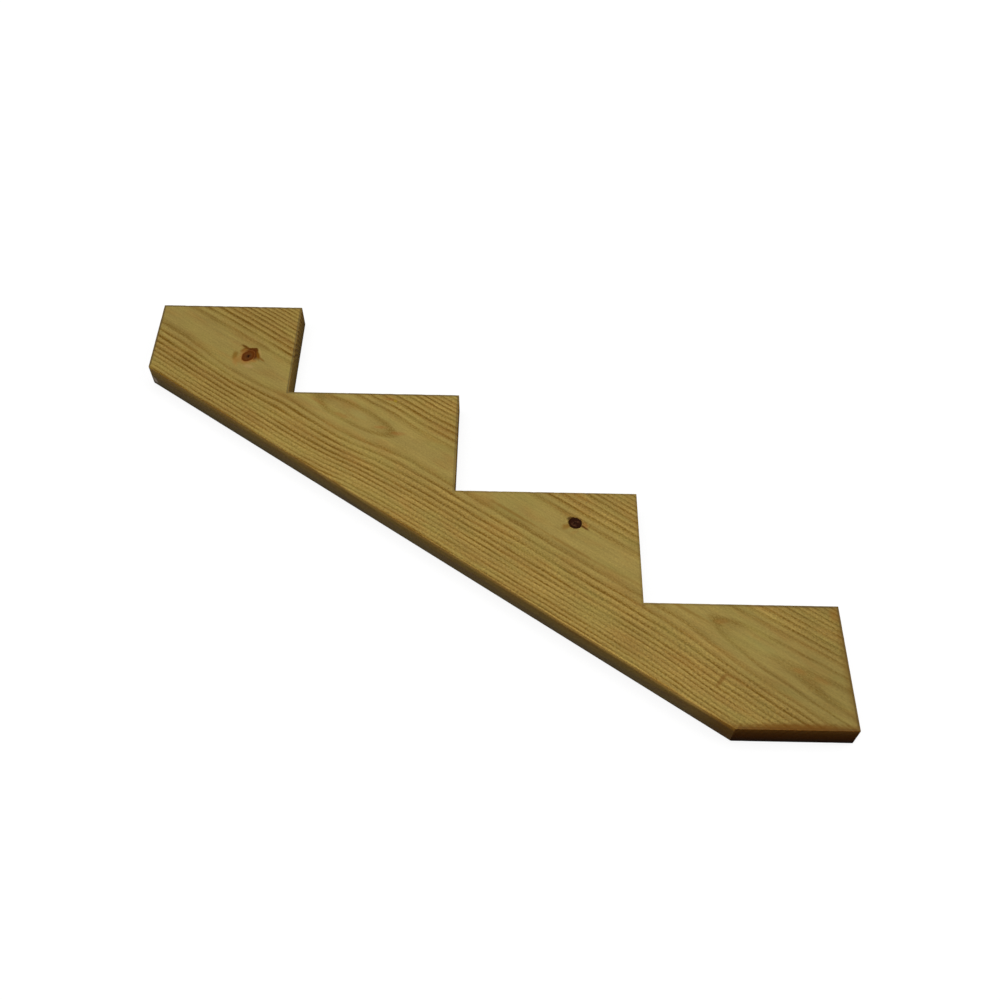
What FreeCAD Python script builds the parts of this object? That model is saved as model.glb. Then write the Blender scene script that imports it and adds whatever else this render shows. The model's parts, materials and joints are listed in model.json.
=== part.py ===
import FreeCAD, Part
import os
import Sketcher
from FreeCAD import Rotation, Vector

# Cut stair stringer: one softwood board with a plumb head cut, a level foot cut and a row of step notches.
# It lies on a broad face. X runs along the treads towards the foot, Y up the risers and Z through the board.
# The origin is the middle of the outline, on the face that it lies on.

NODE = "stringer"

# Driving dimensions in millimetres, with what each one is
SIZES = [
    ("unit_rise", 177.8, "riser cut, from one tread seat up to the next"),
    ("unit_run", 260.35, "tread seat, from its riser cut out to the nose"),
    ("step_notches", 3, "notches sawn into the upper edge"),
    ("top_tread", 222.25, "top tread seat, from the head cut to the first nose"),
    ("foot_rise", 177.8, "lowest riser cut, from the last nose down to the foot"),
    ("board_width", 234.95, "board, from the line of the noses to the underside"),
    ("board_thickness", 38.1, "board, from broad face to broad face"),
    ("eased_edge", 1.6, "radius of the two planed arrises along the underside"),
]

doc = FreeCAD.newDocument("stair_stringer")
sheet = doc.addObject("Spreadsheet::Sheet", "Sizes")
for row, (alias, value, meaning) in enumerate(SIZES, start=1):
    sheet.set(f"A{row}", meaning)
    sheet.set(f"B{row}", str(value))
    sheet.setAlias(f"B{row}", alias)
doc.recompute()

# One step of the layout: its length along the board, and the slope of the treads against the board
STEP_LENGTH = "hypot(Sizes.unit_rise; Sizes.unit_run)"
PITCH = "atan(Sizes.unit_rise / Sizes.unit_run)"

# The noses go down the board in equal steps. The underside is a board's width below their line.
total_run = sheet.step_notches * sheet.unit_run
total_rise = sheet.step_notches * sheet.unit_rise
fall = sheet.unit_rise / sheet.unit_run
plumb_depth = sheet.board_width * sheet.evalExpression(STEP_LENGTH) / sheet.unit_run

body = doc.addObject("PartDesign::Body", "Stringer")
body.Label = NODE


def on_board(level, plumb):
    """A point in the board's own axes, given along the treads and up the risers from the first nose."""
    return Rotation(Vector(0, 0, 1), sheet.evalExpression(PITCH)).multVec(Vector(level, plumb, 0))


def outline(name, corners):
    """A sketch on the broad face: straight lines from corner to corner, starting at the first nose."""
    sketch = body.newObject("Sketcher::SketchObject", name)
    plane = [feature for feature in body.Origin.OriginFeatures if feature.Role == "XY_Plane"][0]
    sketch.AttachmentSupport = [(plane, "")]
    sketch.MapMode = "FlatFace"
    ends = corners[1:] + corners[:1]
    for start, end in zip(corners, ends):
        sketch.addGeometry(Part.LineSegment(start, end), False)
    for line in range(len(corners)):
        following = (line + 1) % len(corners)
        sketch.addConstraint(Sketcher.Constraint("Coincident", line, 2, following, 1))
    sketch.addConstraint(Sketcher.Constraint("Coincident", 0, 1, -1, 1))
    return sketch


def bind(sketch, name, formula, *kind_and_place):
    """A named dimension of the sketch that takes its value from the sheet."""
    value = sheet.evalExpression(formula)
    number = sketch.addConstraint(Sketcher.Constraint(*kind_and_place, value))
    sketch.renameConstraint(number, name)
    sketch.setExpression(f"Constraints.{name}", formula)


# The board trimmed to length, drawn with its edges level: the line of the noses above, the underside below
board = outline("board_outline", [
    on_board(0, 0),
    on_board(total_run, -total_rise),
    on_board(total_run, -total_rise - sheet.foot_rise),
    on_board((total_rise + sheet.foot_rise - plumb_depth) / fall, -total_rise - sheet.foot_rise),
    on_board(-sheet.top_tread, sheet.top_tread * fall - plumb_depth),
    on_board(-sheet.top_tread, 0),
])
nose_line, foot_riser, foot_cut, underside, head_cut, top_seat = range(6)
board.addConstraint(Sketcher.Constraint("Horizontal", nose_line))
board.addConstraint(Sketcher.Constraint("Horizontal", underside))
board.addConstraint(Sketcher.Constraint("Perpendicular", top_seat, head_cut))
board.addConstraint(Sketcher.Constraint("Parallel", foot_riser, head_cut))
board.addConstraint(Sketcher.Constraint("Parallel", foot_cut, top_seat))
bind(board, "seat_slope", PITCH, "Angle", -1, 1, top_seat, 1)
bind(board, "seat_length", "Sizes.top_tread", "Distance", top_seat)
bind(board, "nose_to_nose", f"Sizes.step_notches * {STEP_LENGTH}", "Distance", nose_line)
bind(board, "riser_length", "Sizes.foot_rise", "Distance", foot_riser)
bind(board, "width", "Sizes.board_width", "DistanceY", underside, 1, -1, 1)
doc.recompute()

trimmed_board = body.newObject("PartDesign::Pad", "trimmed_board")
trimmed_board.Profile = board
trimmed_board.setExpression("Length", "Sizes.board_thickness")
doc.recompute()

# The planer eased the two long arrises of the underside. Those of the upper edge go with the notches.
underside_face = min(trimmed_board.Shape.Faces, key=lambda face: face.CenterOfMass.y)
long_edges = sorted(underside_face.Edges, key=lambda edge: edge.Length)[-2:]
arrises = []
for number, edge in enumerate(trimmed_board.Shape.Edges, start=1):
    if any(edge.isSame(arris) for arris in long_edges):
        arrises.append(f"Edge{number}")
eased_board = body.newObject("PartDesign::Fillet", "eased_board")
eased_board.Base = (trimmed_board, arrises)
eased_board.setExpression("Radius", "Sizes.eased_edge")
doc.recompute()

# The step notch is a rise by run rectangle, of which only the inner half lies in the board
space = outline("step_space", [
    on_board(0, 0),
    on_board(0, -sheet.unit_rise),
    on_board(sheet.unit_run, -sheet.unit_rise),
    on_board(sheet.unit_run, 0),
])
riser_cut, tread_cut, open_end, open_top = range(4)
space.addConstraint(Sketcher.Constraint("Perpendicular", riser_cut, tread_cut))
space.addConstraint(Sketcher.Constraint("Parallel", open_end, riser_cut))
space.addConstraint(Sketcher.Constraint("Parallel", open_top, tread_cut))
bind(space, "tread_slope", PITCH, "Angle", -1, 1, tread_cut, 1)
bind(space, "rise", "Sizes.unit_rise", "Distance", riser_cut)
bind(space, "run", "Sizes.unit_run", "Distance", tread_cut)
doc.recompute()

first_notch = body.newObject("PartDesign::Pocket", "first_notch")
first_notch.Profile = space
first_notch.Type = "ThroughAll"
first_notch.Reversed = True
doc.recompute()

notches = body.newObject("PartDesign::LinearPattern", "notches")
notches.Originals = [first_notch]
notches.Direction = (space, ["H_Axis"])
notches.Mode = "Spacing"
notches.setExpression("Offset", STEP_LENGTH)
notches.setExpression("Occurrences", "Sizes.step_notches")
body.Tip = notches

# Turned so that the treads lie along X, with the middle of the outline at the origin
nose_x = "(Sizes.top_tread - Sizes.step_notches * Sizes.unit_run) / 2"
nose_y = "(Sizes.foot_rise + Sizes.step_notches * Sizes.unit_rise) / 2"
turn = f"rotation(vector(0; 0; 1); -{PITCH})"
body.setExpression("Placement", f"placement(vector({nose_x}; {nose_y}; 0); {turn})")
doc.recompute()

failed = [obj.Name for obj in doc.Objects if "Invalid" in obj.State or "Error" in obj.State]
if failed:
    raise RuntimeError(f"these objects failed: {failed}")
if body.Shape.isNull() or not body.Shape.isValid() or len(body.Shape.Solids) != 1:
    raise RuntimeError("the stringer isn't one valid solid")

# The upper edge is sawn away whole, and each notch leaves one riser and one seat in its place
faces_left = len(eased_board.Shape.Faces) - 1 + 2 * sheet.step_notches
if len(body.Shape.Faces) != faces_left:
    raise RuntimeError(f"the notches left {len(body.Shape.Faces)} faces and not {faces_left}")

os.makedirs("parts", exist_ok=True)
body.Shape.exportStep(f"parts/{body.Label}.step")
box = body.Shape.optimalBoundingBox(True, False)
print(f"{body.Label}: {box.XLength:.1f} x {box.YLength:.1f} x {box.ZLength:.1f} mm")
print(f"{len(body.Shape.Faces)} faces, {body.Shape.Volume / 1e6:.3f} litres")
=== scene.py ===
# %% [markdown]
# # A cut stair stringer
#
# A stringer is the notched board that carries the treads of a stair. This one is a single softwood board,
# about a metre long, with three step notches, a plumb cut at its head and a level cut at its foot. The
# CAD model gives the exact shape. This lesson dresses it: we model the board again with the small things
# a saw and a planer leave on it, and then grow the wood inside it, so that the same rings show on every
# face.

# %% Load the frame
import json
import math

import bmesh
import bpy
from mathutils import Matrix, Vector, noise


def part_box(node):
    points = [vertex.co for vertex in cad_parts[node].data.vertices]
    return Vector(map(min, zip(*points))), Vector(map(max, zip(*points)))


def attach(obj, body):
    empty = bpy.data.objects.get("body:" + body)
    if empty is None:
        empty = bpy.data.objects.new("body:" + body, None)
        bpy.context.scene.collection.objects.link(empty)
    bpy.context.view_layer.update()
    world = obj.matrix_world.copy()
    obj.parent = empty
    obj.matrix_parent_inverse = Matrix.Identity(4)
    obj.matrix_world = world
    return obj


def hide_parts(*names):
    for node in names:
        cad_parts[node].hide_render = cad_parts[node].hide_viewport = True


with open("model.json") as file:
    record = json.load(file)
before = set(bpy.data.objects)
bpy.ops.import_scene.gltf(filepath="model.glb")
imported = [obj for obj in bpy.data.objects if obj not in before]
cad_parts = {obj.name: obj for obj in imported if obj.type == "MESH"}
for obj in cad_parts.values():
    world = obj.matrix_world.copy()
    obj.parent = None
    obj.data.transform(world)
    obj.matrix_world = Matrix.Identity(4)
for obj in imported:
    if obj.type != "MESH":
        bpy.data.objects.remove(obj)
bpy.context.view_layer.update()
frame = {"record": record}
mm = 0.001

# %% [markdown]
# ## The corners
#
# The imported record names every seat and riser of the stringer, with the middle of its face. A nose is
# where a riser meets the seat above it, and an inner corner is where it meets the seat below. So the
# eleven corners can be read from the record, and nothing has to be typed in twice.

# %% Corners of the outline
face_middle = {mount["name"]: Vector(mount["pos_m"]) for mount in frame["record"]["mounts"]}
steps = sum(name.startswith("tread_seat") for name in face_middle)
top_seat = face_middle[f"tread_seat_{steps}"]
head = face_middle["head"]
foot = face_middle["foot"]
last_riser = face_middle["riser_face_1"]
board_low, board_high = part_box("stringer")
thickness = board_high.z - board_low.z

head_top = (head.x, top_seat.y)
head_bottom = (head.x, 2 * head.y - top_seat.y)
heel = (2 * foot.x - last_riser.x, foot.y)
toe = (last_riser.x, foot.y)
corners = [head_bottom, heel, toe]
for step in range(1, steps + 1):
    riser = face_middle[f"riser_face_{step}"]
    if step > 1:
        corners.append((riser.x, face_middle[f"tread_seat_{step - 1}"].y))
    corners.append((riser.x, face_middle[f"tread_seat_{step}"].y))
corners.append(head_top)
print(len(corners), "corners, board", round(thickness / mm, 1), "mm thick")

# %% [markdown]
# ## The board's own axes
#
# A carpenter measures along and across the board, not along the treads. We do the same for everything
# that belongs to the wood: `along` runs down the board from the first nose, `across` runs from the
# underside up to the line of the noses. The slope between the two sets of axes is the pitch of the stair.

# %% Along and across the board
second_riser = face_middle[f"riser_face_{steps - 1}"]
second_seat = face_middle[f"tread_seat_{steps - 1}"]
first_nose = Vector((face_middle[f"riser_face_{steps}"].x, top_seat.y, board_high.z))
pitch = math.atan2(top_seat.y - second_seat.y, second_riser.x - first_nose.x)
along = Vector((math.cos(pitch), -math.sin(pitch), 0))
across = Vector((math.sin(pitch), math.cos(pitch), 0))


def on_board(point):
    """How far a point of the frame lies along and across the board, in millimetres from the first nose."""
    offset = Vector(point) - first_nose
    return offset.dot(along) / mm, offset.dot(across) / mm


board_width = -on_board((*head_bottom, board_high.z))[1]
print("pitch", round(math.degrees(pitch), 2), "degrees, board", round(board_width, 1), "mm wide")

# %% [markdown]
# ## The sawn blank
#
# The board starts as one flat face on its corners, pulled up to its thickness with an extrude. We could
# also take the CAD mesh, but a fresh mesh has clean edges, which the bevels of the next steps need.

# %% Extrude the outline
board = bmesh.new()
lower_face = board.faces.new([board.verts.new((x, y, board_low.z)) for x, y in corners])
raised = bmesh.ops.extrude_face_region(board, geom=[lower_face])
raised_verts = [part for part in raised["geom"] if isinstance(part, bmesh.types.BMVert)]
bmesh.ops.translate(board, verts=raised_verts, vec=(0, 0, thickness))
bmesh.ops.recalc_face_normals(board, faces=board.faces)

PLANED, SAWN = 0, 1
same_way = 0.999


def is_closed():
    """True if every edge of the board lies between two faces."""
    return all(edge.is_manifold for edge in board.edges)


for face in board.faces:
    is_underside = face.normal.dot(across) < -same_way
    is_broad = abs(face.normal.z) > same_way
    face.material_index = PLANED if is_underside or is_broad else SAWN
sawn_count = sum(face.material_index == SAWN for face in board.faces)
print(len(board.faces), "faces,", sawn_count, "of them sawn, closed:", is_closed())

# %% [markdown]
# ## The planed arrises
#
# The planer at the mill rounds the long edges of every board. Here only the two along the underside are
# left, since the notches took the others away. A bevel with several segments gives the quarter round of
# the CAD model.

# %% Ease the underside
eased_radius = 1.6 * mm
underside_face = min(board.faces, key=lambda face: face.normal.dot(across))
long_arrises = sorted(underside_face.edges, key=lambda edge: edge.calc_length())[-2:]
eased = bmesh.ops.bevel(board, geom=long_arrises, offset=eased_radius, offset_type="OFFSET", segments=6,
                        profile=0.5, affect="EDGES", material=-1)
for face in eased["faces"]:
    face.material_index = PLANED
    face.smooth = True
print(len(eased["faces"]), "faces round the two long arrises")

# %% [markdown]
# ## The rim
#
# Things happen along the edge of a broad face: fibres tear, and a thin line of painted shade goes there.
# An inset gives that zone faces of its own, four millimetres wide, and the large face inside keeps its few
# corners whatever we do to its rim.

# %% A rim round the broad faces
rim_width = 4.0 * mm
broad_faces = [face for face in board.faces if abs(face.normal.z) > same_way]
rim = bmesh.ops.inset_region(board, faces=broad_faces, thickness=rim_width, use_even_offset=True)
board.normal_update()
print(len(rim["faces"]), "faces in the two rims, closed:", is_closed())

# %% [markdown]
# ## The sawn arrises
#
# A saw leaves a sharp edge with a little fuzz that breaks off in the hand. A very small bevel, half a
# millimetre, catches a thread of light or shade there, as on the real board. The inner corners of the
# notches stay sharp. The long arrises are first cut into short pieces, so that in the next step each
# piece can be frayed by itself.

# %% Break the sawn arrises
broken_edge = 0.5 * mm
piece_length = 3.0 * mm


def sawn_arrises():
    """The outer edges of all faces that the saw left."""
    found = []
    for edge in board.edges:
        touches_saw = any(face.material_index == SAWN for face in edge.link_faces)
        if touches_saw and edge.is_convex:
            found.append(edge)
    return found


for edge in sawn_arrises():
    is_level = abs(edge.verts[0].co.z - edge.verts[1].co.z) < 1e-6
    if is_level:
        bmesh.ops.subdivide_edges(board, edges=[edge], cuts=round(edge.calc_length() / piece_length) - 1)
broken = bmesh.ops.bevel(board, geom=sawn_arrises(), offset=broken_edge, offset_type="OFFSET", segments=2,
                         profile=0.5, affect="EDGES", material=-1)
for face in broken["faces"]:
    face.material_index = SAWN
    face.smooth = True
print(len(broken["faces"]), "faces on the sawn arrises, closed:", is_closed())

# %% [markdown]
# Where a blade leaves the wood, it tears a few fibres out with it. So the arris is pushed back here and
# there, by less than a millimetre: on the broad face away from the cut, and on the cut away from the
# broad face. Both faces stay flat this way. The places come from noise, so the lesson makes the same
# chips each time.

# %% Fray the sawn arrises
deepest_chip = 0.9 * mm
chip_length = 7.0 * mm
chip_threshold = 0.12
chip_slope = 0.6
middle_share = 0.6
broken_faces = set(broken["faces"])
chipped = 0
for vert in broken["verts"]:
    neighbours = [face for face in vert.link_faces if face not in broken_faces]
    outward = sum((face.normal for face in vert.link_faces if face in broken_faces), Vector()).normalized()
    on_edge = any(face.material_index == PLANED and abs(face.normal.z) < same_way for face in neighbours)
    chip = deepest_chip * max(0.0, noise.noise(vert.co / chip_length) - chip_threshold)
    if on_edge or abs(outward.z) < 0.2 or chip == 0.0:
        continue
    back = Vector((outward.x, outward.y, 0)).normalized() * -chip
    down = Vector((0, 0, -math.copysign(chip_slope * chip, outward.z)))
    on_broad = any(abs(face.normal.z) > same_way for face in neighbours)
    on_cut = any(abs(face.normal.z) < 0.001 for face in neighbours)
    if on_broad:
        vert.co += back
    elif on_cut:
        vert.co += down
    else:
        vert.co += (back + down) * middle_share
    chipped += 1
print(chipped, "of", len(broken["verts"]), "points pushed back")

# %% [markdown]
# The broad face gets a thin line of painted shade along such an arris. We mark it for the material, with
# a number at the corners of the rim's faces: 1 on the sawn arris, and 0 on the inner side, so that it fades
# over the width of the rim. The two faces along the planed underside stay unmarked.

# %% Mark the sawn arrises
board.normal_update()
arris = board.loops.layers.float.new("arris")
inner_verts = {vert for face in broad_faces for vert in face.verts}
marked = 0
for face in board.faces:
    beside = [other for edge in face.edges for other in edge.link_faces if other is not face]
    by_saw = sum(other.material_index == SAWN for other in beside) > 4
    if abs(face.normal.z) > same_way and by_saw and face not in broad_faces:
        for corner in face.loops:
            corner[arris] = 0.0 if corner.vert in inner_verts else 1.0
        marked += 1
print(marked, "faces of the rims marked")

# %% [markdown]
# ## Two knots
#
# Two branches cross the upper face. The upper knot is a live one, red-brown and grown into the wood. The
# lower one is a dead branch, nearly black, with a gap of old bark round it. Both dried more than the wood
# about them, so they sit in shallow hollows with small checks in them. We cut a small square of fine mesh
# out of the face round each knot, and press the hollows into it.

# %% Where the knots are
knots = {
    "live_knot": {"along": 0.9, "across": -128.4, "half_length": 9.2, "half_width": 11.4},
    "dead_knot": {"along": 586.3, "across": -92.8, "half_length": 9.8, "half_width": 9.2},
}
patch_half = 21.0


def cut_square(middle_along, middle_across):
    """Cuts a small square face out of the upper face, with its sides along and across the board."""
    middle = first_nose + along * middle_along * mm + across * middle_across * mm
    for direction in (along, across):
        for side in (-1, 1):
            near = [face for face in board.faces if face.normal.z > same_way and holds(face, middle)]
            geom = near + list({edge for face in near for edge in face.edges})
            geom += list({vert for face in near for vert in face.verts})
            cut_place = middle + direction * side * patch_half * mm
            bmesh.ops.bisect_plane(board, geom=geom, dist=1e-7, plane_co=cut_place, plane_no=direction)
    return next(face for face in board.faces if face.normal.z > same_way and holds(face, middle))


def holds(face, point):
    """True if a point of the upper face lies inside this one of its faces."""
    return bmesh.geometry.intersect_face_point(face, point)


# %% [markdown]
# The hollow is deepest where the wood dried most. A soft dish sinks the whole knot a little, a groove
# follows its rim where the bark was, and a few checks run out from the heart of the branch. A dab of
# noise keeps all of it from looking turned on a lathe. Everything goes inwards, so the board stays inside
# its planed face.

# %% Press the hollows
hollows = {
    "live_knot": {"dish": 0.25, "groove": 0.25, "check": 1.2, "check_angles": (80, 205, 300)},
    "dead_knot": {"dish": 0.45, "groove": 0.9, "check": 1.4, "check_angles": (30, 160, 265)},
}
groove_width = 0.09
check_width = 0.45
check_reach = 0.75


def hollow_depth(name, du, dv):
    """Depth of a knot's hollow in millimetres, at a place along and across the board from its middle."""
    knot, hollow = knots[name], hollows[name]
    wobble = noise.noise(Vector((du / 5, dv / 5, knot["along"])))
    reach = math.hypot(du / knot["half_length"], dv / knot["half_width"]) + 0.10 * wobble
    depth = hollow["dish"] * max(0.0, 1 - reach * reach)
    depth += hollow["groove"] * math.exp(-((reach - 1) / groove_width) ** 2)
    for angle in hollow["check_angles"]:
        direction = math.radians(angle)
        outward = du * math.cos(direction) + dv * math.sin(direction)
        aside = dv * math.cos(direction) - du * math.sin(direction) + 0.8 * wobble
        if outward > -0.5:
            depth += hollow["check"] * max(0.0, check_reach - reach) * math.exp(-(aside / check_width) ** 2)
    return depth


# %% Cut a fine patch round each knot and press it
patch_cells = 72
for name, knot in knots.items():
    square = cut_square(knot["along"], knot["across"])
    fine = bmesh.ops.subdivide_edges(board, edges=square.edges, cuts=patch_cells - 1, use_grid_fill=True)
    patch = [part for part in fine["geom_inner"] if isinstance(part, bmesh.types.BMVert)]
    deepest = 0.0
    for vert in patch:
        u, v = on_board(vert.co)
        depth = hollow_depth(name, u - knot["along"], v - knot["across"])
        vert.co.z -= depth * mm
        deepest = max(deepest, depth)
    for face in {face for vert in patch for face in vert.link_faces if len(face.verts) == 4}:
        face.smooth = True
    print(name, "has", len(patch), "points and is", round(deepest, 2), "mm deep")

# %% [markdown]
# ## The piece
#
# The mesh becomes one object at the origin, with its place in its vertices. It rides on the only body
# there is and stands for the CAD node, which stays for collisions.

# %% Make the board object
board_mesh = bpy.data.meshes.new("sawn_board")
board.normal_update()
board.to_mesh(board_mesh)
board.free()
sawn_board = bpy.data.objects.new("sawn_board", board_mesh)
bpy.context.collection.objects.link(sawn_board)
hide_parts("stringer")
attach(sawn_board, "root")
triangles = sum(len(face.vertices) - 2 for face in board_mesh.polygons)
print(len(board_mesh.polygons), "faces,", triangles, "triangles")

# %% [markdown]
# ## Helpers for node trees
#
# A procedural wood is mostly arithmetic. These helpers each add one node, plug in what they are given,
# whether a socket or a plain value, and hand back the output. With them a formula in the lesson reads
# like a formula.

# %% Node helpers


def plug(tree, value, socket):
    """Links an output to a socket, or sets the socket's own value."""
    if isinstance(value, bpy.types.NodeSocket):
        tree.links.new(value, socket)
    else:
        socket.default_value = value


def calc(tree, operation, *values):
    """One Math node."""
    node = tree.nodes.new("ShaderNodeMath")
    node.operation = operation
    for socket, value in zip(node.inputs, values):
        plug(tree, value, socket)
    return node.outputs[0]


def times(tree, first, second):
    """One number multiplied by another."""
    return calc(tree, "MULTIPLY", first, second)


def hypotenuse(tree, first, second):
    """The distance of a point that lies so far one way and so far square to it."""
    squares = calc(tree, "ADD", calc(tree, "POWER", first, 2), calc(tree, "POWER", second, 2))
    return calc(tree, "SQRT", squares)


def parts_of(tree, point):
    """The three numbers of a point."""
    node = tree.nodes.new("ShaderNodeSeparateXYZ")
    plug(tree, point, node.inputs[0])
    return node.outputs


def remap(tree, value, low, high, to_low=0.0, to_high=1.0, smooth=False):
    """Carries a range of values over to another range, and stops at its ends."""
    node = tree.nodes.new("ShaderNodeMapRange")
    node.interpolation_type = "SMOOTHSTEP" if smooth else "LINEAR"
    for socket, setting in zip(node.inputs, (value, low, high, to_low, to_high)):
        plug(tree, setting, socket)
    return node.outputs[0]


def blend(tree, factor, first, second, how="MIX"):
    """Mixes two colours."""
    node = tree.nodes.new("ShaderNodeMix")
    node.data_type = "RGBA"
    node.blend_type = how
    plug(tree, factor, node.inputs[0])
    plug(tree, first, node.inputs[6])
    plug(tree, second, node.inputs[7])
    return node.outputs[2]


def cloud(tree, point, lengths, detail=2.0, roughness=0.5):
    """Noise whose blotches are about as long as the three given lengths."""
    scale = tree.nodes.new("ShaderNodeVectorMath")
    scale.operation = "DIVIDE"
    plug(tree, point, scale.inputs[0])
    scale.inputs[1].default_value = lengths
    node = tree.nodes.new("ShaderNodeTexNoise")
    node.inputs["Scale"].default_value = 1.0
    node.inputs["Detail"].default_value = detail
    node.inputs["Roughness"].default_value = roughness
    tree.links.new(scale.outputs[0], node.inputs["Vector"])
    return node.outputs[0]


def swing(tree, value, amount):
    """Turns noise between 0 and 1 into a swing of the given amount to either side of 0."""
    return times(tree, calc(tree, "SUBTRACT", value, 0.5), 2 * amount)


def darken(tree, colour, tone):
    """Multiplies a colour by one number."""
    grey = tree.nodes.new("ShaderNodeCombineColor")
    for socket in grey.inputs:
        plug(tree, tone, socket)
    return blend(tree, 1.0, colour, grey.outputs[0], "MULTIPLY")


def paint(red, green, blue):
    """A colour as a screen shows it, 0 to 255, in the linear light that the nodes work in."""
    linear = []
    for level in (red / 255, green / 255, blue / 255):
        linear.append(level / 12.92 if level <= 0.04045 else ((level + 0.055) / 1.055) ** 2.4)
    return (*linear, 1.0)


def fade(tree, value, stops):
    """A colour ramp. Each stop is a place and a colour with its opacity."""
    node = tree.nodes.new("ShaderNodeValToRGB")
    node.color_ramp.interpolation = "EASE"
    while len(node.color_ramp.elements) < len(stops):
        node.color_ramp.elements.new(0.5)
    for element, (place, colour) in zip(node.color_ramp.elements, stops):
        element.position = place
        element.color = colour
    plug(tree, value, node.inputs[0])
    return node.outputs[0], node.outputs[1]


def make_group(name, inputs, outputs):
    """An empty shader node group with named sockets, such as {"Board Point": "Vector"}."""
    tree = bpy.data.node_groups.new(name, "ShaderNodeTree")
    for label, kind in inputs.items():
        tree.interface.new_socket(label, in_out="INPUT", socket_type=f"NodeSocket{kind}")
    for label, kind in outputs.items():
        tree.interface.new_socket(label, in_out="OUTPUT", socket_type=f"NodeSocket{kind}")
    return tree, tree.nodes.new("NodeGroupInput").outputs, tree.nodes.new("NodeGroupOutput").inputs


def place_group(tree, group, **values):
    """Places a group in a tree. An input is named in small letters, with _ for a space."""
    node = tree.nodes.new("ShaderNodeGroup")
    node.node_tree = group
    for socket in node.inputs:
        key = socket.name.lower().replace(" ", "_")
        if key in values:
            plug(tree, values[key], socket)
    return node.outputs


print("helpers are ready")

# %% [markdown]
# ## Growth rings
#
# A tree adds a pale and a dark layer each year round its heart. This board was sawn beside the heart: the
# heart runs about 50 mm under the upper face, just below the board, so the face cuts the rings like a
# knife along an onion. It shows close lines towards its edges and a wide pale band in the middle. Where
# the heart drifts nearer to the face, the next ring inwards comes into view as an eye or a pointed arch.
#
# So we don't draw lines at all. We say where the heart is, measure how far each point lies from it, and
# count the rings on the way. All faces share this solid pattern, so the lines turn over every edge as
# they do in real wood.

# %% The heart of the tree
# Place along the board, with the heart's place across it or its depth under the upper face, in millimetres
heart_across = [(-200, -127), (60, -128.5), (180, -125.5), (300, -117), (400, -114), (700, -112.5),
                (800, -114), (900, -117), (1050, -119)]
heart_depth = [(-200, 53.4), (100, 53.3), (215, 48.7), (320, 53.4), (780, 53.3), (840, 50), (900, 46.7),
               (980, 43.5), (1050, 41)]
# Distance from the heart in millimetres, with the number of rings inside it
growth = [(0, 0), (18, 0.8), (42.6, 2.2), (44.5, 2.8), (48.6, 3.2), (51.5, 3.8), (53, 4.03), (60.2, 4.8),
          (74.2, 6.8), (89.1, 8.8), (107.5, 11.8), (125, 14.8), (150, 19.5)]


def drawn_curve(tree, value, points):
    """A smooth curve through given points, as a Float Curve node between two changes of scale."""
    places = [place for place, height in points]
    heights = [height for place, height in points]
    node = tree.nodes.new("ShaderNodeFloatCurve")
    curve = node.mapping.curves[0]
    for place, height in points[1:-1]:
        curve.points.new(0.5, 0.5)
    for knob, (place, height) in zip(curve.points, points):
        x = (place - places[0]) / (places[-1] - places[0])
        y = (height - min(heights)) / (max(heights) - min(heights))
        knob.location = (x, y)
        knob.handle_type = "AUTO_CLAMPED"
    node.mapping.update()
    plug(tree, remap(tree, value, places[0], places[-1]), node.inputs["Value"])
    return remap(tree, node.outputs[0], 0.0, 1.0, min(heights), max(heights))


# %% Growth rings as a node group
rings, given, result = make_group(
    "growth_rings",
    {"Board Point": "Vector", "Swerve": "Float"},
    {"Latewood": "Float", "Age": "Float"},
)
u, v, w = parts_of(rings, given["Board Point"])
slow_wave = swing(rings, cloud(rings, given["Board Point"], (240, 90, 90)), 3.0)
ripple = swing(rings, cloud(rings, given["Board Point"], (40, 16, 16)), 1.0)
aside = calc(rings, "ADD", calc(rings, "SUBTRACT", v, drawn_curve(rings, u, heart_across)), slow_wave)
above = calc(rings, "ADD", w, drawn_curve(rings, u, heart_depth))
radius = calc(rings, "ADD", hypotenuse(rings, aside, above), ripple)
radius = calc(rings, "SUBTRACT", radius, given["Swerve"])
years = drawn_curve(rings, radius, growth)

# %% [markdown]
# Good and bad summers make wide and narrow rings, and some rings are darker than others. A young tree
# makes little summer wood, so the first rings round the heart are faint. Inside one ring the wood goes
# from pale spring wood to dark summer wood, and then stops short. A colour ramp draws that profile.

# %% The profile of one ring
lucky_years = rings.nodes.new("ShaderNodeTexNoise")
lucky_years.noise_dimensions = "1D"
lucky_years.inputs["Scale"].default_value = 0.8
lucky_years.inputs["Detail"].default_value = 1.0
rings.links.new(years, lucky_years.inputs["W"])
years = calc(rings, "ADD", years, swing(rings, lucky_years.outputs[0], 0.15))
ring_number = calc(rings, "FLOOR", years)
ring_part = calc(rings, "FRACT", years)
white, black = (1, 1, 1, 1), (0, 0, 0, 1)
profile_stops = [(0.0, black), (0.30, (0.05, 0.05, 0.05, 1)), (0.52, (0.42, 0.42, 0.42, 1)),
                 (0.70, (0.90, 0.90, 0.90, 1)), (0.82, white), (0.93, (0.60, 0.60, 0.60, 1)), (1.0, black)]
profile = fade(rings, ring_part, profile_stops)[0]
ring_dice = rings.nodes.new("ShaderNodeTexWhiteNoise")
ring_dice.noise_dimensions = "1D"
rings.links.new(ring_number, ring_dice.inputs["W"])
ring_strength = remap(rings, ring_dice.outputs["Value"], 0, 1, 0.72, 1.08)
patchy = remap(rings, cloud(rings, given["Board Point"], (150, 22, 22)), 0.25, 0.75, 0.70, 1.10)
young = remap(rings, u, 60, 160, 0.24, 0.55)
grown_up = remap(rings, ring_number, 2.9, 4.4, young, 1.0)
strength = times(rings, times(rings, ring_strength, patchy), grown_up)
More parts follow.
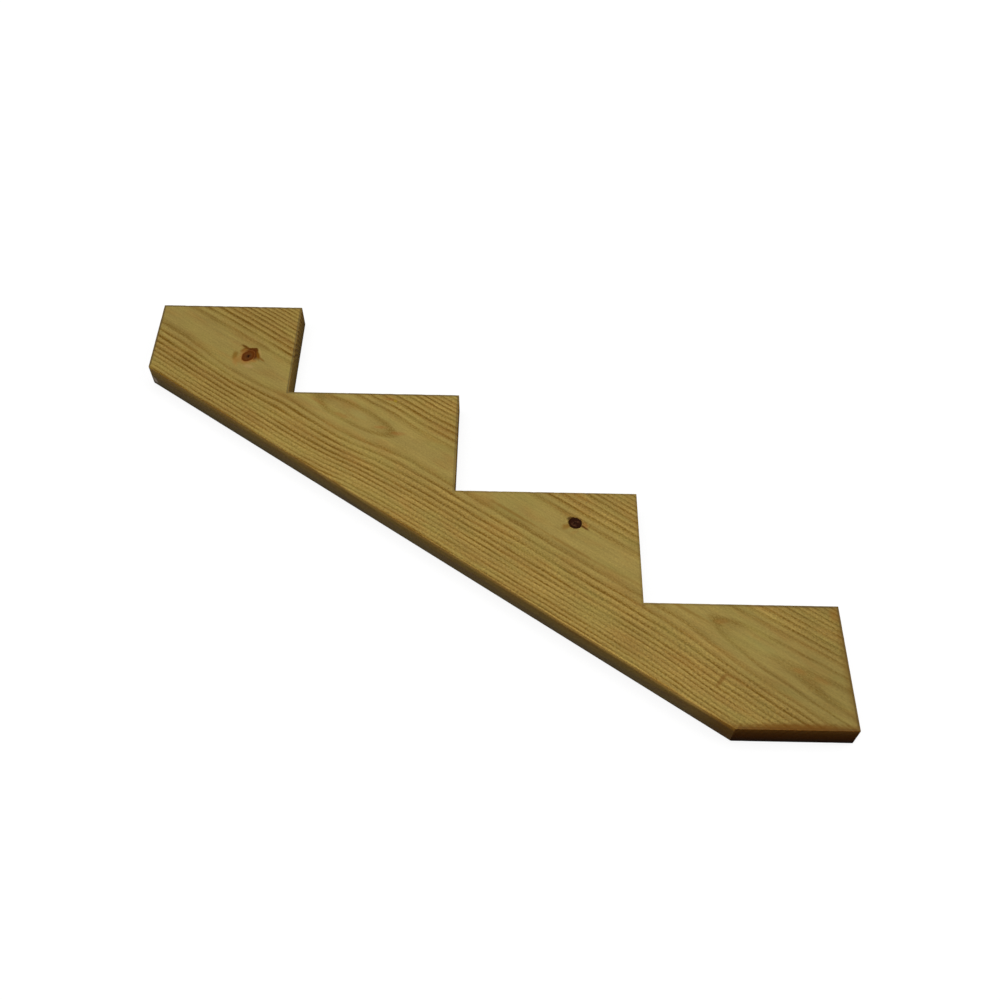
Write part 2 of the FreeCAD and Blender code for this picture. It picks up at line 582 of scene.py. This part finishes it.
broken_up = remap(rings, cloud(rings, given["Board Point"], (30, 3, 3)), 0.30, 0.70, 0.76, 1.24)
ragged = remap(rings, cloud(rings, given["Board Point"], (3, 1.5, 1.5)), 0.30, 0.70, 0.45, 1.55)
strength = times(rings, strength, times(rings, broken_up, ragged))
latewood = times(rings, profile, strength)
rings.links.new(latewood, result["Latewood"])
rings.links.new(remap(rings, years, 4.0, 6.5), result["Age"])
print("growth_rings:", len(rings.nodes), "nodes")

# %% [markdown]
# ## Branches
#
# A knot is the foot of a branch. It starts as a point at the heart of the tree and widens towards the
# bark, so in the solid pattern it is a leaning cone. This group measures how far a point is from the
# middle of the branch, with 1 at its rim. It also gives the eye, the pointed shape along the grain in
# which the rings flow round the branch, and the swerve, by which they are pushed aside. The swerve is
# greatest some way below the branch, much weaker above it, and none in its middle and far away.

# %% Branch knot as a node group
heart_below = 50.0
swerve_length = 70.0
swerve_width = 34.0

branch, given, result = make_group(
    "branch_knot",
    {"Board Point": "Vector", "Along": "Float", "Across": "Float", "Lean Across": "Float",
     "Half Length": "Float", "Half Width": "Float", "Eye Length": "Float", "Eye Width": "Float",
     "Eye Tilt": "Float", "Push": "Float"},
    {"Branch": "Float", "Eye": "Float", "Upper": "Float", "Swerve": "Float"},
)
u, v, w = parts_of(branch, given["Board Point"])
wobble_along = swing(branch, cloud(branch, given["Board Point"], (9, 9, 9)), 1.6)
wobble_across = swing(branch, cloud(branch, given["Board Point"], (7, 7, 30)), 1.6)
from_axis_u = calc(branch, "ADD", calc(branch, "SUBTRACT", u, given["Along"]), wobble_along)
axis_v = calc(branch, "ADD", given["Across"], times(branch, given["Lean Across"], w))
from_axis_v = calc(branch, "ADD", calc(branch, "SUBTRACT", v, axis_v), wobble_across)
taper = remap(branch, w, -heart_below, 0.0, 0.02, 1.0)
reach_u = calc(branch, "DIVIDE", from_axis_u, times(branch, given["Half Length"], taper))
reach_v = calc(branch, "DIVIDE", from_axis_v, times(branch, given["Half Width"], taper))
reach = hypotenuse(branch, reach_u, reach_v)
tilted_v = calc(branch, "MULTIPLY_ADD", from_axis_u, given["Eye Tilt"], from_axis_v)
eye_length = times(branch, given["Eye Length"], taper)
eye_width = times(branch, given["Eye Width"], taper)
eye_u = calc(branch, "DIVIDE", calc(branch, "ABSOLUTE", from_axis_u), eye_length)
eye_v = calc(branch, "DIVIDE", calc(branch, "ABSOLUTE", tilted_v), eye_width)
push_u = calc(branch, "POWER", calc(branch, "DIVIDE", from_axis_u, swerve_length), 2)
push_v = calc(branch, "POWER", calc(branch, "DIVIDE", from_axis_v, swerve_width), 2)
fading = calc(branch, "EXPONENT", calc(branch, "SUBTRACT", 1.0, calc(branch, "ADD", push_u, push_v)))
lower_side = remap(branch, from_axis_v, -8.0, 8.0, 1.0, 0.15)
push = times(branch, times(branch, push_v, fading), lower_side)
branch.links.new(reach, result["Branch"])
branch.links.new(calc(branch, "ADD", eye_u, eye_v), result["Eye"])
branch.links.new(remap(branch, from_axis_v, -4.0, 4.0, smooth=True), result["Upper"])
branch.links.new(times(branch, push, given["Push"]), result["Swerve"])
print("branch_knot:", len(branch.nodes), "nodes")

# %% [markdown]
# ## Fibres
#
# Under the rings runs the finer grain: long fibres, a little lighter or darker than each other, short
# dark dashes where resin canals are cut open, and a fine speckle. All are noise, stretched along the
# board.

# %% Fibres as a node group
fibres, given, result = make_group(
    "long_fibres",
    {"Board Point": "Vector"},
    {"Streak": "Float", "Dash": "Float", "Speckle": "Float"},
)
streak = cloud(fibres, given["Board Point"], (90, 4.0, 4.0), detail=5.0, roughness=0.68)
dash_noise = cloud(fibres, given["Board Point"], (12, 1.5, 1.5), detail=2.0)
dash = remap(fibres, dash_noise, 0.64, 0.74, smooth=True)
speckle = cloud(fibres, given["Board Point"], (3.2, 1.9, 1.9), detail=3.0, roughness=0.6)
fibres.links.new(speckle, result["Speckle"])
fibres.links.new(streak, result["Streak"])
fibres.links.new(dash, result["Dash"])
print("long_fibres:", len(fibres.nodes), "nodes")

# %% [markdown]
# ## Stains and specks
#
# A real board has a few marks of its own: a drop of resin, a rusty streak, a speck of dirt. Each is a
# soft oval at some place along and across the board, turned by some angle. One small group draws such an
# oval, and the material places it as often as it needs.

# %% Soft oval as a node group
oval, given, result = make_group(
    "soft_oval",
    {"Board Point": "Vector", "Along": "Float", "Across": "Float", "Turn": "Float", "Half Length": "Float",
     "Half Width": "Float"},
    {"Mask": "Float"},
)
u, v, w = parts_of(oval, given["Board Point"])
uneven = swing(oval, cloud(oval, given["Board Point"], (6, 4, 6), detail=3.0), 0.35)
du = calc(oval, "SUBTRACT", u, given["Along"])
dv = calc(oval, "SUBTRACT", v, given["Across"])
cosine = calc(oval, "COSINE", given["Turn"])
sine = calc(oval, "SINE", given["Turn"])
long_way = calc(oval, "ADD", times(oval, du, cosine), times(oval, dv, sine))
short_way = calc(oval, "SUBTRACT", times(oval, dv, cosine), times(oval, du, sine))
long_part = calc(oval, "DIVIDE", long_way, given["Half Length"])
short_part = calc(oval, "DIVIDE", short_way, given["Half Width"])
distance = calc(oval, "ADD", hypotenuse(oval, long_part, short_part), uneven)
on_its_face = remap(oval, w, -3.0, -1.0)
spot = times(oval, remap(oval, distance, 1.15, 0.25, smooth=True), on_its_face)
oval.links.new(spot, result["Mask"])
print("soft_oval:", len(oval.nodes), "nodes")

# %% [markdown]
# ## Planed pine
#
# The broad faces and the underside came from the planer: smooth, with a dull sheen. The colour starts
# from the tones of spring wood and summer wood, and the rings choose between them. Near the heart the
# pale tone is a little greener. Slow clouds add the greenish and reddish tints of treated pine, both ends
# of the board are a shade darker, and the fibres break it all up.

# %% Start of a wood material
board_origin = Matrix.Rotation(pitch, 3, "Z") @ first_nose
wood_gloss = 0.03


def start_wood(name):
    """A material with its shader, and the board's own axes in millimetres from the first nose."""
    material = bpy.data.materials.new(name)
    material.use_nodes = True
    tree = material.node_tree
    shader = tree.nodes["Principled BSDF"]
    shader.inputs["Specular IOR Level"].default_value = wood_gloss
    place = tree.nodes.new("ShaderNodeTexCoord")
    turn = tree.nodes.new("ShaderNodeMapping")
    turn.inputs["Scale"].default_value = (1 / mm, 1 / mm, 1 / mm)
    turn.inputs["Rotation"].default_value = (0, 0, pitch)
    turn.inputs["Location"].default_value = -board_origin / mm
    tree.links.new(place.outputs["Object"], turn.inputs["Vector"])
    return material, tree, shader, turn.outputs[0], place.outputs["Object"]


# %% Rings and fibres of the planed faces
heart_wood = paint(151, 130, 70)
spring_wood = paint(158, 131, 69)
summer_wood = paint(110, 80, 20)

planed_pine, tree, shader, point, spot = start_wood("planed_pine")
live = place_group(tree, branch, board_point=point, **knots["live_knot"], lean_across=0.02,
                   eye_length=29.0, eye_width=21.2, eye_tilt=0.07, push=4.5)
dead = place_group(tree, branch, board_point=point, **knots["dead_knot"], lean_across=0.42,
                   eye_length=24.0, eye_width=13.0, eye_tilt=0.0, push=1.0)
swerve = calc(tree, "ADD", live["Swerve"], dead["Swerve"])
ring = place_group(tree, rings, board_point=point, swerve=swerve)
fibre = place_group(tree, fibres, board_point=point)
u, v, w = parts_of(tree, point)
pale_wood = blend(tree, ring["Age"], heart_wood, spring_wood)
ring_strength = times(tree, ring["Latewood"], remap(tree, u, -100, 900, 1.12, 0.88))
colour = blend(tree, ring_strength, pale_wood, summer_wood)

# %% Tints and streaks
ends_shade = [(-200, 0.89), (60, 0.94), (200, 1.0), (840, 1.0), (900, 0.92), (975, 0.86), (1040, 0.83)]
greenish = cloud(tree, point, (90, 26, 30))
reddish = cloud(tree, point, (60, 18, 30))
colour = blend(tree, remap(tree, greenish, 0.45, 0.70, 0.0, 0.5), colour, paint(146, 131, 67))
colour = blend(tree, remap(tree, reddish, 0.50, 0.72, 0.0, 0.40), colour, paint(148, 111, 54))
end_tone = drawn_curve(tree, u, ends_shade)
streak_tone = remap(tree, fibre["Streak"], 0.25, 0.75, 0.84, 1.14)
lively = remap(tree, ring["Age"], 0, 1, 0.7, 1.7)
speckle_tone = calc(tree, "MULTIPLY_ADD", swing(tree, fibre["Speckle"], 0.45), lively, 1.0)
grain_tone = times(tree, remap(tree, fibre["Dash"], 0, 1, 1.0, 0.86), speckle_tone)
slow_tone = remap(tree, cloud(tree, point, (80, 26, 30)), 0.35, 0.65, 0.94, 1.06)
tone = times(tree, times(tree, end_tone, streak_tone), grain_tone)
tone = times(tree, tone, slow_tone)
colour = darken(tree, colour, tone)

# %% [markdown]
# Colour comes in here from real marks and from painted light. The sawn arrises get the thin line of painted
# shade for which the rim was marked. The underside is browner towards its upper arris and greyer with dust
# towards the lower face, and painted shade makes it darker towards the lower face. A painted highlight
# makes its upper part paler, most of all in the lower half of the board. Close to the foot the underside
# has taken up brown damp.

# %% Painted shade on the arrises, and marks and painted light on the underside
arris_shade = [(-200, 0.92), (0, 0.78), (300, 0.68), (440, 0.40), (700, 0.34), (820, 0.50), (960, 0.82),
               (1060, 0.82)]
arris_mark = tree.nodes.new("ShaderNodeAttribute")
arris_mark.attribute_name = "arris"
arris_line = remap(tree, arris_mark.outputs["Fac"], 0.0, 0.50, smooth=True)
arris_line = times(tree, arris_line, drawn_curve(tree, u, arris_shade))
# Painted shade: a thin dark line along the sawn arrises of the broad faces, fading over the rim.
arris_painted_shade = times(tree, arris_line, remap(tree, fibre["Speckle"], 0.35, 0.60, 0.60, 1.0))
colour = blend(tree, arris_painted_shade, colour, paint(86, 72, 44))
on_underside = remap(tree, v, -board_width, -board_width + eased_radius / mm, 1.0, 0.0)
brown = times(tree, on_underside, remap(tree, w, -thickness / mm, -4.0, 0.15, 0.55))
colour = blend(tree, brown, colour, paint(134, 98, 44))
near_foot = times(tree, on_underside, remap(tree, u, 852, 908, 0.0, 0.72, smooth=True))
dust_below = remap(tree, u, 830, 890, 0.55, 0.08)
dust = times(tree, on_underside, remap(tree, w, -12.0, -thickness / mm, 0.0, dust_below))
colour = blend(tree, dust, colour, paint(140, 124, 98))
colour = blend(tree, near_foot, colour, paint(99, 62, 6))
# Painted shade: the underside is painted darker towards the lower face.
painted_shade_below = remap(tree, u, -100, 420, 0.76, 0.57)
underside_painted_shade = times(tree, on_underside, remap(tree, w, -4.0, -thickness / mm, 0.0, painted_shade_below))
# Painted highlight: the upper part of the underside and its eased arris are painted paler.
underside_painted_highlight = remap(tree, w, -10.5, -4.0, 0.0, remap(tree, u, -100, 800, 0.34, 1.35), smooth=True)
underside_painted_highlight = times(tree, underside_painted_highlight, remap(tree, u, 860, 915, 1.0, 0.85))
underside_painted_highlight = times(tree, on_underside, underside_painted_highlight)
colour = darken(tree, colour, calc(tree, "SUBTRACT", calc(tree, "ADD", 1.0, underside_painted_highlight), underside_painted_shade))

# %% [markdown]
# Now the marks. They are set at their places along and across the board, in millimetres from the
# first nose.

# %% Stains and specks of this board
# Along, across, turn in degrees, half length, half width, strength, colour
stains = [
    (146, -134.5, 0, 20, 3.5, 0.35, paint(146, 98, 44)),
    (195, -135, 10, 16, 5, 0.38, paint(146, 98, 44)),
    (192, -105, 4, 18, 4, 0.30, paint(146, 100, 46)),
    (215, -118, 0, 20, 8, 0.45, paint(152, 139, 79)),
    (257, -119, 30, 13, 4, 0.38, paint(150, 92, 44)),
    (286, -113, 30, 15, 4.5, 0.36, paint(150, 92, 44)),
    (505, -130, 0, 60, 3.4, 0.70, paint(124, 94, 38)),
    (603, -131, 0, 60, 3.4, 0.60, paint(124, 94, 38)),
    (700, -127.5, 2.5, 55, 3.4, 0.35, paint(126, 96, 40)),
    (778, -123.5, 3, 45, 3.6, 0.60, paint(124, 94, 38)),
    (829, -112, 40, 13, 5, 0.28, paint(148, 100, 44)),
    (893, -113, 0, 32, 8, 0.38, paint(146, 136, 74)),
    (946, -117, 15, 12, 5, 0.30, paint(150, 100, 44)),
    (976, -113, 10, 15, 5, 0.24, paint(148, 98, 42)),
    (948, -18, -56, 13, 8, 0.38, paint(140, 90, 28)),
    (236, -68, 28, 16, 3, 0.40, paint(140, 88, 36)),
    (244, -66, 0, 4, 3, 0.55, paint(158, 134, 30)),
    (579.5, -105, 60, 9, 6, 0.80, paint(128, 92, 34)),
    (594, -107, 60, 7, 4, 0.30, paint(150, 110, 52)),
    (600, -88.5, -15, 8, 4, 0.55, paint(150, 96, 42)),
    (601, -92, -3, 10, 2.3, 0.95, paint(86, 48, 10)),
    (578.3, -91.3, 10, 6.5, 5.6, 1.0, paint(44, 18, 2)),
    (-12.5, -122, 75, 8.5, 5.5, 0.85, paint(112, 70, 16)),
    (-15.5, -116.0, 3, 10, 3.0, 0.95, paint(88, 54, 6)),
    (22, -121.5, -8, 9, 2.4, 0.70, paint(112, 70, 14)),
    (15, -130.5, 20, 6, 4.5, 0.45, paint(146, 94, 32)),
    (11.5, -112.5, -38, 11, 2.2, 0.45, paint(170, 140, 80)),
    (15, -144, 15, 11, 5, 0.50, paint(166, 136, 86)),
    (-17, -139, -62, 11, 6, 0.78, paint(116, 82, 20)),
    (-9, -145, -40, 10, 6, 0.55, paint(144, 98, 40)),
    (-7, -151, -20, 11, 4, 0.30, paint(158, 108, 52)),
    (870.5, -186, 86, 16, 4.0, 0.65, paint(116, 78, 28)),
    (876, -175.5, 10, 7, 2.8, 0.45, paint(122, 84, 34)),
    (957.5, -173, 0, 2.4, 2.0, 0.80, paint(98, 76, 30)),
    (406.5, -149, 0, 1.8, 1.4, 0.7, paint(90, 62, 30)),
    (415, -156, 0, 1.8, 1.4, 0.7, paint(90, 62, 30)),
    (733, -150, 30, 4, 2, 0.5, paint(108, 76, 36)),
]
last_edge_along, last_edge_across = on_board((last_riser.x - 2 * mm, last_riser.y, board_high.z))
foot_edge_along, foot_edge_across = on_board((foot.x, foot.y + 3 * mm, board_high.z))
slope = math.degrees(pitch)
stains.append((last_edge_along, last_edge_across, slope + 90, 110, 9, 0.40, paint(108, 76, 26)))
stains.append((foot_edge_along, foot_edge_across, slope, 110, 8, 0.80, paint(104, 64, 16)))
for mark_along, mark_across, turn, half_length, half_width, strength, stain in stains:
    mark = place_group(tree, oval, board_point=point, along=mark_along, across=mark_across,
                       turn=math.radians(turn), half_length=half_length, half_width=half_width)
    colour = blend(tree, times(tree, mark["Mask"], strength), colour, stain)
print(len(stains), "stains and specks")

# %% [markdown]
# One more mark is on the underside, a pale scuff at the corner of the head. The same group draws it there
# if the board point is turned first: along the board as before, through its thickness, and in from the
# underside.

# %% Scuff on the underside
scuff_along = on_board((*head_bottom, board_high.z))[0]
turned = tree.nodes.new("ShaderNodeCombineXYZ")
tree.links.new(u, turned.inputs[0])
tree.links.new(w, turned.inputs[1])
tree.links.new(calc(tree, "SUBTRACT", -board_width, v), turned.inputs[2])
scuff = place_group(tree, oval, board_point=turned.outputs[0], along=scuff_along + 6, across=-27.0,
                    turn=0.5, half_length=6.0, half_width=7.0)
colour = blend(tree, times(tree, scuff["Mask"], 0.75), colour, paint(196, 178, 160))

# %% [markdown]
# The knots come last, over everything else. Each has a colour ramp from its heart to its rim, and fades
# out into a warm halo. The live knot also has a dark roof, where the rings of the stem close over the
# branch.

# %% Knot colours
halo = remap(tree, live["Branch"], 2.0, 0.9, 0.0, 0.75, smooth=True)
colour = blend(tree, halo, colour, paint(146, 98, 44))
from_knot = calc(tree, "SUBTRACT", u, knots["live_knot"]["along"])
left_eave = remap(tree, from_knot, -12.0, -7.0)
right_eave = remap(tree, from_knot, 18.0, 11.0)
under_roof = times(tree, remap(tree, live["Eye"], 1.0, 0.82, smooth=True), live["Upper"])
under_roof = times(tree, under_roof, times(tree, left_eave, right_eave))
colour = blend(tree, under_roof, colour, paint(79, 38, 6))
from_roof = calc(tree, "ABSOLUTE", calc(tree, "SUBTRACT", live["Eye"], 0.90))
roof_half = remap(tree, from_knot, -12.0, 16.0, 0.10, 0.24)
roof_line = calc(tree, "SUBTRACT", 1.0, remap(tree, from_roof, 0.03, roof_half, smooth=True))
roof_end = times(tree, remap(tree, from_knot, -17.0, -11.0), remap(tree, from_knot, 22.0, 15.0))
roof = times(tree, times(tree, roof_line, roof_end), live["Upper"])
roof_colour = blend(tree, remap(tree, from_knot, 3.0, 10.0), paint(84, 46, 4), paint(108, 67, 10))
colour = blend(tree, roof, colour, roof_colour)


def knot_stops(*stops):
    """Ramp stops for a knot: a place, the three parts of a colour, and how much it covers the wood."""
    return [(place, (*paint(*levels)[:3], cover)) for place, levels, cover in stops]


live_stops = knot_stops(
    (0.00, (22, 6, 2), 1.0), (0.06, (40, 13, 2), 1.0), (0.13, (76, 43, 15), 1.0),
    (0.27, (88, 51, 18), 1.0), (0.36, (88, 46, 9), 1.0), (0.45, (82, 39, 4), 1.0),
    (0.50, (100, 54, 12), 0.9), (0.57, (150, 100, 46), 0.0))
live_colour, live_cover = fade(tree, times(tree, live["Branch"], 0.5), live_stops)
colour = blend(tree, live_cover, colour, live_colour)

dead_stops = knot_stops(
    (0.00, (34, 14, 6), 1.0), (0.30, (38, 14, 4), 1.0), (0.46, (30, 10, 1), 1.0), (0.51, (68, 42, 10), 0.9),
    (0.57, (150, 116, 60), 0.0))
dead_colour, dead_cover = fade(tree, times(tree, dead["Branch"], 0.5), dead_stops)
dusty = remap(tree, cloud(tree, point, (5.0, 5.0, 5.0), detail=3.0), 0.48, 0.62, 0.0, 0.8, smooth=True)
dusty = times(tree, dusty, remap(tree, dead["Branch"], 0.75, 0.45, smooth=True))
dead_colour = blend(tree, dusty, dead_colour, paint(80, 50, 30))
colour = blend(tree, dead_cover, colour, dead_colour)

# %% [markdown]
# Summer wood is harder, so the planer leaves it a hair proud and a little glossier. The bump heights here
# are hundredths of a millimetre.

# %% Sheen and bump of the planed faces
grain_depth = 0.08 * mm


def finish_wood(tree, shader, colour, rough, height, depth):
    """Plugs the colour, the roughness and a bump of the given depth into the shader."""
    bump = tree.nodes.new("ShaderNodeBump")
    bump.inputs["Distance"].default_value = depth
    bump.inputs["Strength"].default_value = 0.8
    tree.links.new(height, bump.inputs["Height"])
    tree.links.new(colour, shader.inputs["Base Color"])
    tree.links.new(rough, shader.inputs["Roughness"])
    tree.links.new(bump.outputs["Normal"], shader.inputs["Normal"])


ring_sheen = remap(tree, ring["Latewood"], 0, 1, 0.66, 0.54)
rough = calc(tree, "ADD", ring_sheen, swing(tree, fibre["Streak"], 0.08))
height = calc(tree, "ADD", times(tree, ring["Latewood"], 0.5), fibre["Streak"])
height = calc(tree, "SUBTRACT", height, times(tree, fibre["Dash"], 0.6))
finish_wood(tree, shader, colour, rough, height, grain_depth)
board_mesh.materials.append(planed_pine)
print("planed_pine:", len(tree.nodes), "nodes")

# %% [markdown]
# ## Saw-cut pine
#
# The seats, risers and ends were cut with a circular saw, across the fibres. Cut ends drink light: they
# are darker and browner, and the rings stand out. The teeth leave shallow arcs as wide as the blade, a
# couple of millimetres apart. On a seat the saw moved along X and on a riser along Y, and the other one
# stays the same there, so their sum counts the way for both.

# %% Saw marks
blade_radius = 92.0
tooth_step = 2.3
tooth_depth = 0.25 * mm
saw_pine, tree, shader, point, spot = start_wood("saw_cut_pine")
ring = place_group(tree, rings, board_point=point, swerve=0.0)
fibre = place_group(tree, fibres, board_point=point)
x, y, z = (calc(tree, "DIVIDE", socket, mm) for socket in parts_of(tree, spot))
from_low_face = calc(tree, "POWER", z, 2)
arc = calc(tree, "SQRT", calc(tree, "SUBTRACT", blade_radius ** 2, from_low_face))
way = calc(tree, "ADD", calc(tree, "ADD", x, y), arc)
unsteady = swing(tree, cloud(tree, point, (12, 12, 12)), 0.7)
turns = calc(tree, "DIVIDE", calc(tree, "ADD", way, unsteady), tooth_step)
wave = calc(tree, "SINE", times(tree, turns, 2 * math.pi))
teeth = calc(tree, "MULTIPLY_ADD", wave, 0.5, 0.5)
pressed = remap(tree, cloud(tree, point, (30, 30, 30)), 0.35, 0.70, 0.25, 1.0)
teeth = times(tree, teeth, pressed)

# %% Colours of the saw cuts
cut_spring = paint(125, 98, 45)
cut_summer = paint(84, 58, 20)
pores = cloud(tree, point, (5, 0.7, 0.7), detail=3.0)
colour = blend(tree, ring["Latewood"], cut_spring, cut_summer)
pore_tone = remap(tree, pores, 0.3, 0.7, 0.80, 1.12)
tone = times(tree, pore_tone, remap(tree, teeth, 0, 1, 1.05, 0.88))
tone = times(tree, tone, remap(tree, fibre["Streak"], 0.25, 0.75, 0.90, 1.06))
# Painted shade: the saw cuts are painted lighter near the upper face and darker towards the lower face.
tone = times(tree, tone, remap(tree, z, thickness / mm - 4.0, 4.0, 1.28, 0.52))
colour = darken(tree, colour, tone)

# %% [markdown]
# The foot's cut is redder than the other cuts, and painted shade makes it darker, most of all towards the
# lower face.

# %% Painted shade on the foot
# Painted shade: the foot cut gets a dark red-brown, much darker towards the lower face.
foot_shade_tone = [(0, 0.05), (6, 0.24), (12, 0.66), (19, 1.09), (26, 1.38), (32, 2.2), (38.1, 2.6)]
at_foot = remap(tree, y, foot.y / mm + 6.0, foot.y / mm + 1.0)
foot_shade_weight = remap(tree, z, thickness / mm - 2.0, thickness / mm - 20.0, 0.68, 1.0)
foot_painted_shade = times(tree, at_foot, foot_shade_weight)
foot_shaded_colour = darken(tree, paint(76, 42, 8), drawn_curve(tree, z, foot_shade_tone))
colour = blend(tree, foot_painted_shade, colour, foot_shaded_colour)

# %% Sheen and bump of the saw cuts
height = calc(tree, "ADD", times(tree, teeth, -1.0), times(tree, pores, 0.8))
rough = remap(tree, pores, 0.3, 0.7, 0.92, 0.80)
finish_wood(tree, shader, colour, rough, height, tooth_depth)
board_mesh.materials.append(saw_pine)
print("saw_cut_pine:", len(tree.nodes), "nodes")

# %% [markdown]
# ## Floor and background
#
# The photograph has a plain white ground. A white floor would throw light back on the edges of the board,
# which are dark in the photograph. So the floor is dark for the light that bounces, and white for the
# eye: camera, glossy and transmission rays see a grey floor with some light of its own added. The shadow
# of the board stays, because the grey part still darkens where the lamps are hidden.

# %% Pale floor
floor_half = 12.0
floor_gap = 0.5 * mm
floor_glow = 0.84
floor_mesh = bpy.data.meshes.new("floor")
sheet = bmesh.new()
bmesh.ops.create_grid(sheet, x_segments=1, y_segments=1, size=floor_half)
bmesh.ops.translate(sheet, verts=sheet.verts, vec=(0, 0, board_low.z - floor_gap))
sheet.to_mesh(floor_mesh)
sheet.free()
floor = bpy.data.objects.new("floor", floor_mesh)
bpy.context.collection.objects.link(floor)


def seen_rays(tree):
    """1 for rays that show the background itself, and 0 for those that only carry its light."""
    path = tree.nodes.new("ShaderNodeLightPath")
    either = calc(tree, "MAXIMUM", path.outputs["Is Camera Ray"], path.outputs["Is Glossy Ray"])
    return calc(tree, "MAXIMUM", either, path.outputs["Is Transmission Ray"])


pale_floor = bpy.data.materials.new("pale_floor")
pale_floor.use_nodes = True
tree = pale_floor.node_tree
shader = tree.nodes["Principled BSDF"]
seen = seen_rays(tree)
floor_grey = blend(tree, seen, (0.06, 0.06, 0.06, 1), (0.20, 0.20, 0.20, 1))
tree.links.new(floor_grey, shader.inputs["Base Color"])
shader.inputs["Roughness"].default_value = 1.0
shader.inputs["Specular IOR Level"].default_value = 0.0
shader.inputs["Emission Color"].default_value = (1, 1, 1, 1)
tree.links.new(times(tree, seen, floor_glow), shader.inputs["Emission Strength"])
floor_mesh.materials.append(pale_floor)

# %% World
world = bpy.data.worlds.new("studio")
bpy.context.scene.world = world
world.use_nodes = True
tree = world.node_tree
background = tree.nodes["Background"]
background.inputs["Color"].default_value = (1, 1, 1, 1)
room_light = 0.07
tree.links.new(remap(tree, seen_rays(tree), 0, 1, room_light, 1.0), background.inputs["Strength"])
print("floor and world are ready")

# %% [markdown]
# ## Light
#
# Three soft lights, as in a small studio: one overhead, and a weaker one on each side. The upper face is
# evenly lit, the edges that face a side light are in half shade, and those that face us are dark. Sun
# lamps with a wide angle are as soft as a large lamp and even over the whole floor. Together with the
# room they give the upper face about one unit of light, at which a colour renders as it is written.

# %% Overhead light and two side lights
# Name, share of the light on a face turned to it, then height, turn from +X and softness in degrees
lamps = [
    ("overhead", 0.52, 80, 100, 50),
    ("left_side", 0.32, 38, 202, 45),
    ("right_side", 0.38, 38, 10, 45),
]
for name, share, height, turn, softness in lamps:
    lamp_data = bpy.data.lights.new(name, "SUN")
    lamp_data.energy = share * math.pi
    lamp_data.angle = math.radians(softness)
    lamp = bpy.data.objects.new(name, lamp_data)
    level = math.cos(math.radians(height))
    source = Vector((level * math.cos(math.radians(turn)), level * math.sin(math.radians(turn)),
                     math.sin(math.radians(height))))
    lamp.rotation_euler = source.to_track_quat("Z", "Y").to_euler()
    bpy.context.collection.objects.link(lamp)
    print(name, "gives the upper face", round(share * source.z, 2))

# %% [markdown]
# ## Camera
#
# The camera was worked out from the straight edges of the board in the photograph: where it stands, what
# it looks at, the slight roll of the picture, and the length of its lens.

# %% Camera at the photograph's view
camera_stand = Vector((0.0476, -0.9057, 1.3194))
camera_aim = Vector((0.0463, -0.0153, 0.0381))
camera_roll = math.radians(1.045)
camera_data = bpy.data.cameras.new("photo_view")
camera_data.sensor_width = 36.0
camera_data.lens = 39.486
camera = bpy.data.objects.new("photo_view", camera_data)
look = (camera_aim - camera_stand).to_track_quat("-Z", "Y").to_matrix()
camera.location = camera_stand
camera.rotation_euler = (look @ Matrix.Rotation(camera_roll, 3, "Z")).to_euler()
bpy.context.collection.objects.link(camera)
bpy.context.scene.camera = camera
bpy.context.scene.view_settings.view_transform = "Standard"
print("camera is", round((camera_aim - camera_stand).length, 3), "m away")
